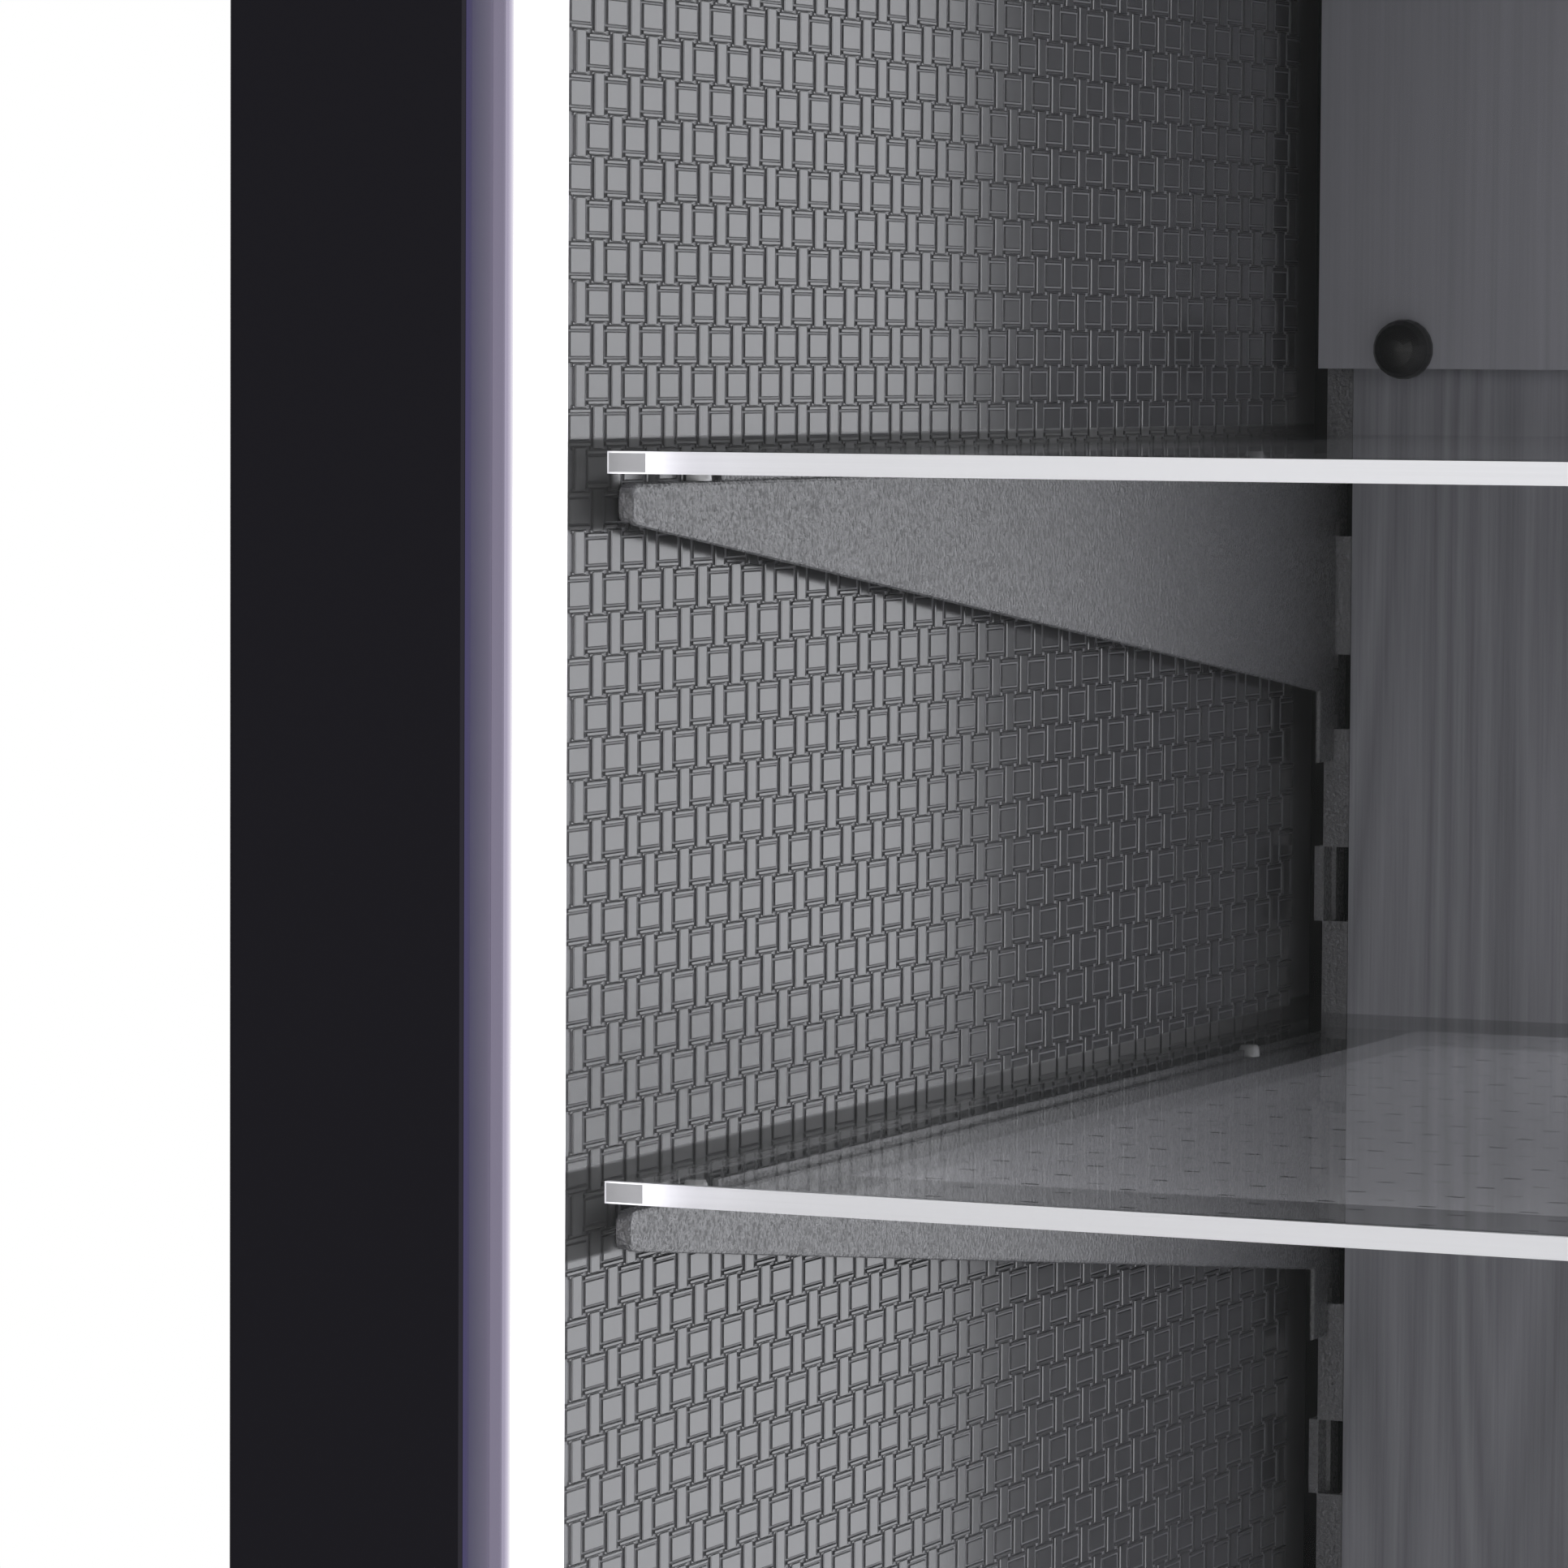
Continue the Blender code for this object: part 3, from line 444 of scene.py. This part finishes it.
def lining_material(groups):
    """Embossed laminate: glossy pads and bars, duller and paler grooves, and a painted shelf
    shadow.
    """
    made, g, shader = start_material("embossed_laminate", LAMINATE, 0.2, Specular_IOR_Level=1.0)
    apart = g.node("ShaderNodeSeparateXYZ", {0: g.place()})
    depth = g.math("SUBTRACT", g.math("ABSOLUTE", apart.outputs[0]), INNER)
    groove = g.between(depth, WEAVE_DEEP - GROOVE_EDGE[0], WEAVE_DEEP - GROOVE_EDGE[1])
    shade = painted_shelf_shade(g, apart.outputs[1], apart.outputs[2])
    cloud = g.noise(g.place(), 60.0, 3.0, 0.5)
    tone = g.math("ADD", g.math("MULTIPLY", cloud, 0.16), 0.92)
    tone = g.math("MULTIPLY", tone, g.math("ADD", 1.0, g.math("MULTIPLY", groove, 2.4)))
    # Painted shadow: the base colour darkens and the roughness rises where the shelf shadow falls.
    tone = g.math("MULTIPLY", tone, g.math("SUBTRACT", 1.0, g.math("MULTIPLY", shade, 0.65)))
    g.feed(shader.inputs["Base Color"], shaded(g, LAMINATE, tone))
    marks = group_in(g, groups["handled"], Amount=0.03)
    rough = g.math("ADD", marks.outputs[0], GLOSS_ROUGHNESS)
    rough = g.math("ADD", rough, g.math("MULTIPLY", groove, 0.25))
    g.feed(shader.inputs["Roughness"], g.math("ADD", rough, g.math("MULTIPLY", shade, 0.5), True))
    bump(g, shader, g.noise(g.place(), 900.0, 2.0, 0.5), 0.000012)
    return made


def lacquer_material(name, colour, groups, speckle=0.05):
    """Satin black lacquer over board: faint peel and handling marks."""
    made, g, shader = start_material(name, colour, 0.5, Specular_IOR_Level=0.03)
    grain = group_in(g, groups["speckle"], Grain=700.0, Contrast=speckle)
    g.feed(shader.inputs["Base Color"], shaded(g, colour, grain.outputs[0]))
    marks = group_in(g, groups["handled"], Amount=0.12)
    g.feed(shader.inputs["Roughness"], g.math("ADD", marks.outputs[0], 0.46))
    bump(g, shader, grain.outputs[1], 0.00002)
    return made


def powder_material(name, colour, groups):
    """Grey powder coat with a fine grain: its low spots are darker and duller."""
    made, g, shader = start_material(name, colour, POWDER_ROUGHNESS, Specular_IOR_Level=1.0)
    grain = group_in(g, groups["speckle"], Grain=1000.0, Contrast=2.6)
    g.feed(shader.inputs["Base Color"], shaded(g, colour, grain.outputs[0]))
    low_spots = g.between(grain.outputs[1], 0.52, 0.36)
    rough = g.math("ADD", g.math("MULTIPLY", low_spots, 0.3), POWDER_ROUGHNESS)
    g.feed(shader.inputs["Roughness"], rough)
    bump(g, shader, grain.outputs[1], 0.0004)
    return made


# Painted light on the return face of a hinge stile, an emission standing in for the lit corner
# behind: share of the stile's thickness from its front, and colour.
RETURN_PAINTED_GLOW = ((0.0, (0.060, 0.052, 0.130)), (0.08, (0.062, 0.056, 0.105)),
               (0.25, (0.085, 0.080, 0.122)), (0.45, (0.118, 0.106, 0.158)),
               (0.72, (0.215, 0.190, 0.280)), (0.86, (0.340, 0.310, 0.420)),
               (0.94, (0.600, 0.560, 0.680)), (1.0, (0.95, 0.94, 0.97)))
# Painted glow on the gasket, weaker than on the lacquer beside it.
GASKET_PAINTED_GLOW = 0.72            # the gasket's lip glows less than the lacquer beside it
# Painted highlight along the softened front edge, standing in for light caught from the return
# face.
EDGE_HIGHLIGHT = (0.0008, 0.0016)  # a softened front edge catches light here, from the return face
EDGE_HIGHLIGHT_GLOW = (0.016, 0.015, 0.019, 1.0)
RETURN_EDGE = 0.0015          # the return face is everything nearer the opening than this
GASKET_EDGE = 0.001
DARK = (0.0, 0.0, 0.0, 1.0)


def add_painted_corner_glow(made, facing_in):
    """Painted emission on the hinge side of a door, standing in for light from the lit corner;
    it rises from its front to its rear face.

    With facing_in the faces next to the opening glow, and a painted highlight line runs along
    the front edge; without it, everything inside the glass groove glows, as the gasket does."""
    g, shader = Graph(made.node_tree), made.node_tree.nodes["Principled BSDF"]
    apart = g.node("ShaderNodeSeparateXYZ", {0: g.place()})
    face = g.node("ShaderNodeSeparateXYZ", {0: g.node("ShaderNodeNewGeometry").outputs["Normal"]})
    across = g.math("ABSOLUTE", apart.outputs[0])
    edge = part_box("right_hinge_stile")[0][0]
    share = g.math("DIVIDE", g.math("SUBTRACT", apart.outputs[1], DOOR_FRONT),
                   DOOR_REAR - DOOR_FRONT, True)
    # Painted light: emission colour rising from the stile's front to its rear face.
    glow = g.ramp(share, RETURN_PAINTED_GLOW)
    if facing_in:
        inner = g.math("MULTIPLY", g.math("LESS_THAN", across, edge + RETURN_EDGE),
                       g.math("GREATER_THAN", share, 0.01))
        # Painted highlight: a thin line along the front edge, on faces that look forward.
        from_edge = g.math("SUBTRACT", across, edge)
        line = g.math("MULTIPLY", g.math("GREATER_THAN", from_edge, EDGE_HIGHLIGHT[0]),
                      g.math("LESS_THAN", from_edge, EDGE_HIGHLIGHT[1]))
        line = g.math("MULTIPLY", line, g.math("LESS_THAN", face.outputs[1], -0.5))
        glow = g.mix(line, g.mix(inner, DARK, glow), EDGE_HIGHLIGHT_GLOW)
    else:
        # Painted glow on everything inside the glass groove, where the gasket sits.
        glow = g.mix(g.math("GREATER_THAN", across, edge - GASKET_EDGE), DARK, glow)
    g.feed(shader.inputs["Emission Color"], glow)
    shader.inputs["Emission Strength"].default_value = 1.0 if facing_in else GASKET_PAINTED_GLOW
    return made


def brushed_material(groups, name, colour, roughness, stretch, contrast, metallic=1.0):
    """Brushed metal: streaks along the axis where stretch is small."""
    made, g, shader = start_material(name, colour, roughness, metallic)
    streaks = group_in(g, groups["brushed"], Vector=g.stretched(stretch), Contrast=contrast)
    g.feed(shader.inputs["Base Color"], shaded(g, colour, streaks.outputs[0]))
    rough = g.math("ADD", g.math("MULTIPLY", streaks.outputs[1], 0.12), roughness - 0.06)
    g.feed(shader.inputs["Roughness"], rough)
    bump(g, shader, streaks.outputs[1], 0.00003)
    return made


def wood_material():
    """Dark veneer: tall cathedral figure from distorted rings, with open pores along Z."""
    made, g, shader = start_material("dark_veneer", (0.1, 0.1, 0.12), 0.5)
    flow = g.stretched((7.0, 7.0, 0.55))
    bend = g.noise(flow, 1.3, 3.0, 0.5, 0.3)
    rings = g.math("FRACT", g.math("MULTIPLY", bend, 22.0))
    figure = g.math("ABSOLUTE", g.math("SUBTRACT", rings, 0.5))
    pores = g.noise(g.stretched((1100.0, 1100.0, 18.0)), 1.0, 3.0, 0.6)
    tone = g.math("ADD", g.math("MULTIPLY", figure, 0.5), g.math("MULTIPLY", pores, 0.5))
    colour = g.ramp(tone, ((0.15, (0.25, 0.25, 0.275)), (0.55, (0.42, 0.42, 0.46))))
    g.feed(shader.inputs["Base Color"], colour)
    g.feed(shader.inputs["Roughness"], g.math("ADD", g.math("MULTIPLY", pores, 0.2), 0.42))
    bump(g, shader, tone, 0.00008)
    return made


GLASS_TINT = (0.02, 0.025, 0.025)
FROST = (0.85, 0.85, 0.90, 1.0)
DASH_INK = (0.01, 0.01, 0.012, 1.0)


def glass_material(name, field=False):
    """Clear glass: nearly clear head on and mirror-like at a glancing angle."""
    made, g, shader = start_material(name, GLASS_TINT, 0.03, IOR=1.9)
    edge_on = g.node("ShaderNodeLayerWeight", {"Blend": 0.5}).outputs["Facing"]
    alpha = g.math("ADD", g.math("MULTIPLY", g.math("POWER", edge_on, 5.0), 0.5), 0.03)
    if field:
        veil, dashes = etched_field(g)
        alpha = g.math("ADD", alpha, g.math("MULTIPLY", veil, 0.05))
        alpha = g.math("MAXIMUM", alpha, g.math("MULTIPLY", dashes, 0.9))
        colour = g.mix(dashes, FROST, DASH_INK)
        g.feed(shader.inputs["Base Color"], g.mix(veil, (*GLASS_TINT, 1.0), colour))
    g.feed(shader.inputs["Alpha"], g.math("MINIMUM", alpha, 1.0))
    return made


FIELD_INSET = (0.041, 0.030, 0.037)    # from the shelf's sides, front and rear
DASH = (0.0038, 0.0015)
DASH_PITCH = (0.0215, 0.018)


def etched_field(g):
    """Masks of the frosted field on a shelf's top face, and of the dashes in it."""
    low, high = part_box("glass_shelf_1")
    apart = g.node("ShaderNodeSeparateXYZ", {0: g.place()})
    x, y = apart.outputs[0], apart.outputs[1]
    up = g.node("ShaderNodeSeparateXYZ", {0: g.node("ShaderNodeNewGeometry").outputs["Normal"]})
    top = g.math("GREATER_THAN", up.outputs[2], 0.5)
    side = g.math("LESS_THAN", g.math("ABSOLUTE", x), high[0] - FIELD_INSET[0])
    front = g.math("GREATER_THAN", y, low[1] + FIELD_INSET[1])
    rear = g.math("LESS_THAN", y, high[1] - FIELD_INSET[2])
    veil = g.math("MULTIPLY", g.math("MULTIPLY", side, top), g.math("MULTIPLY", front, rear))

    def near(value, pitch, width, start):
        turns = g.math("FRACT", g.math("DIVIDE", g.math("SUBTRACT", value, start), pitch))
        away = g.math("ABSOLUTE", g.math("SUBTRACT", turns, 0.5))
        return g.math("LESS_THAN", away, width / pitch / 2)

    dashes = g.math("MULTIPLY", near(x, DASH_PITCH[0], DASH[0], 0.0),
                    near(y, DASH_PITCH[1], DASH[1], WALL_FRONT))
    return veil, g.math("MULTIPLY", dashes, veil)


OPAL = (0.95, 0.95, 0.97)
LIT_STRENGTH = 1.7


def diffuser_material():
    """Opal cover lit from behind."""
    made, g, shader = start_material("opal_cover", OPAL, 0.45)
    shader.inputs["Emission Color"].default_value = (1.0, 0.985, 1.0, 1.0)
    shader.inputs["Emission Strength"].default_value = LIT_STRENGTH
    cloud = g.noise(g.place(), 35.0, 2.0, 0.5)
    tone = g.math("ADD", g.math("MULTIPLY", cloud, 0.04), 0.96)
    g.feed(shader.inputs["Base Color"], shaded(g, OPAL, tone))
    return made


def plastic_material(name, colour, roughness, groups, **plain):
    """Moulded plastic or rubber with a fine spark-eroded grain."""
    made, g, shader = start_material(name, colour, roughness, **plain)
    speck = group_in(g, groups["speckle"], Grain=900.0, Contrast=0.12)
    g.feed(shader.inputs["Base Color"], shaded(g, colour, speck.outputs[0]))
    marks = group_in(g, groups["handled"], Amount=0.08)
    g.feed(shader.inputs["Roughness"], g.math("ADD", marks.outputs[0], roughness))
    bump(g, shader, speck.outputs[1], 0.00003)
    return made


LACQUER = (0.0145, 0.0137, 0.0178)


def make_materials():
    """Every finish on the cabinet."""
    groups = {"brushed": brushed_group(), "speckle": speckle_group(), "handled": handled_group()}
    lengthwise, upright, fine = (6.0, 900.0, 900.0), (900.0, 900.0, 6.0), (900.0, 900.0, 9.0)
    hinge_lacquer = lacquer_material("black_lacquer_painted_glow", LACQUER, groups)
    rubber = plastic_material("black_rubber", (0.016, 0.016, 0.018), 0.6, groups,
                              Specular_IOR_Level=0.03)

    def brushed(*args):
        return brushed_material(groups, *args)

    return {
        "lining": lining_material(groups),
        "lacquer": lacquer_material("black_lacquer", LACQUER, groups),
        # Hinge stiles: black lacquer with painted light on the return face and front edge.
        "glow_painted_lacquer": add_painted_corner_glow(hinge_lacquer, True),
        "rear": lacquer_material("painted_hardboard", (0.022, 0.022, 0.024), groups, 0.3),
        "powder": powder_material("grey_powder_coat", POWDER, groups),
        "upright": powder_material("light_grey_powder_coat", UPRIGHT_POWDER, groups),
        "trim": brushed("bright_brushed_aluminium", (0.86, 0.86, 0.89), 0.34, lengthwise, 0.25),
        "channel": brushed("anodised_channel", (0.72, 0.72, 0.74), 0.4, upright, 0.2),
        "handle": brushed("brushed_handle", (0.66, 0.66, 0.68), 0.3, upright, 0.3),
        "cover": brushed("dark_brushed_metal", (0.50, 0.50, 0.55), 0.42, fine, 0.5, 0.25),
        "steel": brushed("turned_steel", (0.55, 0.55, 0.57), 0.3, fine, 0.2),
        "wood": wood_material(),
        "pane": glass_material("clear_pane"),
        "shelf": glass_material("shelf_glass", True),
        "diffuser": diffuser_material(),
        "strip": plastic_material("light_strip", (0.8, 0.8, 0.74), 0.5, groups),
        # Gaskets: black rubber with painted glow inside the glass groove.
        "rubber": add_painted_corner_glow(rubber, False),
        "knob": plastic_material("satin_black_knob", (0.008, 0.008, 0.009), 0.3, groups),
        "plastic": plastic_material("driver_case", (0.75, 0.75, 0.73), 0.5, groups),
        "black_plastic": plastic_material("foot_plastic", (0.018, 0.018, 0.018), 0.5, groups),
        "cap": plastic_material("grey_end_cap", (0.42, 0.42, 0.435), 0.5, groups),
        "silicone": plastic_material("clear_silicone", (0.85, 0.85, 0.86), 0.10, groups,
                                     Alpha=0.85),
    }


# Finish of a carried-over part, by the first of these words found in its name.
FINISHES = (("hinge_stile", "glow_painted_lacquer"), ("stile", "lacquer"), ("rail", "lacquer"),
            ("side_panel", "lacquer"), ("top_panel", "lacquer"), ("bottom_panel", "lacquer"),
            ("plinth", "lacquer"), ("rear_sheet", "rear"), ("back_panel", "wood"),
            ("glass_shelf", "shelf"), ("_glass", "pane"), ("gasket", "rubber"),
            ("handle", "handle"), ("bracket", "powder"), ("upright", "upright"),
            ("driver_cover", "cover"), ("cover_knob", "knob"), ("led_driver", "plastic"),
            ("led_channel", "channel"), ("led_strip", "strip"), ("diffuser", "diffuser"),
            ("pivot", "steel"), ("catch", "black_plastic"), ("foot", "black_plastic"),
            ("trim", "trim"))


def dress_nodes(looks):
    """Give every carried-over part its finish; the linings are replaced."""
    for name, part in NODES.items():
        if name.endswith("_lining"):
            continue
        look = next(finish for words, finish in FINISHES if words in name)
        part.data.materials.clear()
        part.data.materials.append(looks[look])


# --- small parts -----------------------------------------------------------------------

def make_end_caps(looks):
    """Grey caps over the ends of the shelf trims: chamfered plates just proud of the front."""
    for k in SHELVES:
        low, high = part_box("shelf_trim_%d" % k)
        tall = high[2] - low[2] - 2 * CAP_INSET
        points, faces = raised_block(CAP_LENGTH, tall, *CAP_BLOCK, 0.0)
        for name, side in SIDES:
            x = side * (high[0] - CAP_INSET - CAP_LENGTH / 2)
            z = (low[2] + high[2]) / 2
            shape = np.column_stack([points[:, 0] + x, low[1] + CAP_FOOT - points[:, 2],
                                     points[:, 1] + z])
            cap = mesh_piece("%s_end_cap_%d" % (name, k), shape, faces, looks["cap"])
            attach(cap, "cabinet")


def make_bumpers(looks):
    """Clear domed bumpers on the brackets, under the glass."""
    for k in SHELVES:
        for name, side in SIDES:
            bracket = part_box("%s_bracket_%d" % (name, k))
            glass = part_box("glass_shelf_%d" % k)
            x = (bracket[0][0] + bracket[1][0]) / 2
            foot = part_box("shelf_trim_%d" % k)[0][2] - BUMPER_BELOW_TRIM
            tall = glass[0][2] - foot
            r, end = BUMPER_RADIUS, tall - PIECE_GAP
            profile = [(AXIS_RADIUS, PIECE_GAP), (r, PIECE_GAP), (r, tall * 0.35),
                       (r * 0.93, tall * 0.7), (r * 0.8, end), (AXIS_RADIUS, end)]
            points, faces = turned(profile, 24)
            places = np.array([(x, WALL_FRONT + place, foot) for place in BUMPER_PLACES])
            every, quads = stamp(points, faces, places)
            piece = mesh_piece("%s_bumpers_%d" % (name, k), every, quads, looks["silicone"], True)
            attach(piece, "cabinet")


# Profiles as (radius, out of the sheet).
SCREW_HEAD = ((AXIS_RADIUS, 0.0), (0.0039, 0.0), (0.0037, 0.0006), (0.0027, 0.0012),
              (0.0011, 0.0014), (0.0009, 0.0007), (AXIS_RADIUS, 0.0006))
GROMMET = ((0.0050, 0.0), (0.0110, 0.0), (0.0110, 0.0014), (0.0094, 0.0022), (0.0066, 0.0022),
           (0.0050, 0.0012))
SCREW_INSET = 0.009
SCREW_PITCH = 0.145
SCREWS_ACROSS = 7
GROMMET_PLACE = (0.16, 0.10)   # from the sheet's right edge and from its foot


def make_rear_fittings(looks):
    """Screws round the rear sheet and a grommet: profiles of (radius, out) turned about Y."""
    low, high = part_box("rear_sheet")
    across = np.linspace(low[0] + SCREW_INSET, high[0] - SCREW_INSET, SCREWS_ACROSS)
    up = np.arange(low[2] + SCREW_INSET, high[2] - SCREW_INSET, SCREW_PITCH)
    rows = [(x, z) for z in (up[0], high[2] - SCREW_INSET) for x in across]
    columns = [(x, z) for x in (across[0], across[-1]) for z in up[1:]]
    screws = np.array([(x, high[1], z) for x, z in rows + columns])
    grommet = np.array([(high[0] - GROMMET_PLACE[0], high[1], low[2] + GROMMET_PLACE[1])])
    for name, profile, places, look, slot in (
            ("rear_screws", SCREW_HEAD, screws, "steel", "steel"),
            ("lead_grommet", GROMMET, grommet, "rubber", "black_rubber")):
        points, faces = turned(profile, 20)
        every, quads = stamp(points[:, [0, 2, 1]], faces[:, ::-1], places)
        piece = mesh_piece(name, every, quads, looks[look], True)
        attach(piece, "cabinet")


# --- stage, lights and camera ----------------------------------------------------------

FLOOR_HALF = 6.0
SURROUND = 0.30       # strength of the white surroundings as light, against 1 as seen
GLOW_HALF = 0.302     # half width of the light at the back of the interior
GLOW_ENERGY = 6.0


def make_stage():
    """A pale floor."""
    made, g, shader = start_material("pale_floor", (0.82, 0.82, 0.82), 0.7)
    tone = g.math("ADD", g.math("MULTIPLY", g.noise(g.place(), 3.0), 0.03), 0.97)
    g.feed(shader.inputs["Base Color"], shaded(g, (0.84, 0.84, 0.84), tone))
    half = FLOOR_HALF
    corners = [(-half, -half, 0), (half, -half, 0), (half, half, 0), (-half, half, 0)]
    floor = mesh_piece("floor", corners, [[0, 1, 2, 3]], made)


def area_light(name, place, aim, size, energy, colour=(1, 1, 1)):
    """A rectangular light at a place, turned towards a point and unseen by the camera."""
    data = bpy.data.lights.new(name, "AREA")
    data.shape = "RECTANGLE"
    data.size, data.size_y = size
    data.energy = energy
    data.color = colour
    made = bpy.data.objects.new(name, data)
    made.location = place
    made.rotation_mode = "QUATERNION"
    made.rotation_quaternion = (Vector(aim) - Vector(place)).to_track_quat("-Z", "Y")
    bpy.context.scene.collection.objects.link(made)
    made.visible_camera = False


def make_lights():
    """White surroundings, soft studio lights, and the glow of the lit interior."""
    world = bpy.data.worlds.new("white_studio")
    bpy.context.scene.world = world
    world.use_nodes = True
    g = Graph(world.node_tree)
    seen = g.node("ShaderNodeLightPath").outputs["Is Camera Ray"]
    back = world.node_tree.nodes["Background"]
    back.inputs[0].default_value = (1.0, 1.0, 1.0, 1.0)
    strength = g.math("ADD", g.math("MULTIPLY", seen, 1.0 - SURROUND), SURROUND)
    g.feed(back.inputs[1], strength)
    area_light("soft_front_left", (-0.95, -3.3, 1.9), (0, -0.2, 1.2), (2.2, 2.6), 16.0)
    area_light("soft_front_right", (2.2, -3.0, 2.4), (0, 0, 1.1), (1.6, 2.0), 22.0)
    area_light("soft_rear", (0.6, 3.4, 2.2), (0, 0.2, 1.0), (2.2, 2.2), 60.0)
    area_light("soft_top", (0, 0, 4.6), (0, 0, 0), (4.0, 4.0), 130.0)
    middle = (WALL_LOW + WALL_HIGH) / 2
    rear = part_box("driver_cover")[0][1] - 0.001
    area_light("inside_glow", (0, rear, middle), (0, -1.0, middle),
               (2 * GLOW_HALF, WALL_HIGH - WALL_LOW - 0.04), GLOW_ENERGY, (0.955, 0.965, 1.0))


# Camera place: right of the left lining's face, in front of the linings, above the top shelf.
CAMERA_FROM = (0.6377, 1.3006, 0.020)
CAMERA_TURN = (90.0 - 3.46, -0.3, 24.387)    # degrees about X, Y and Z


def make_camera():
    """Close view past the left stile to the lining, shelves and rear upright."""
    data = bpy.data.cameras.new("camera")
    data.sensor_width = 36.0
    data.lens = 163.3
    made = bpy.data.objects.new("camera", data)
    right, before, above = CAMERA_FROM
    made.location = (-INNER + right, WALL_FRONT - before, SHELF_TOPS[0] + above)
    made.rotation_euler = [math.radians(turn) for turn in CAMERA_TURN]
    bpy.context.scene.collection.objects.link(made)
    bpy.context.scene.camera = made


bpy.context.scene.view_settings.view_transform = "Standard"
LOOKS = make_materials()
dress_nodes(LOOKS)
make_linings(LOOKS)
make_end_caps(LOOKS)
make_bumpers(LOOKS)
make_rear_fittings(LOOKS)
make_stage()
make_lights()
make_camera()
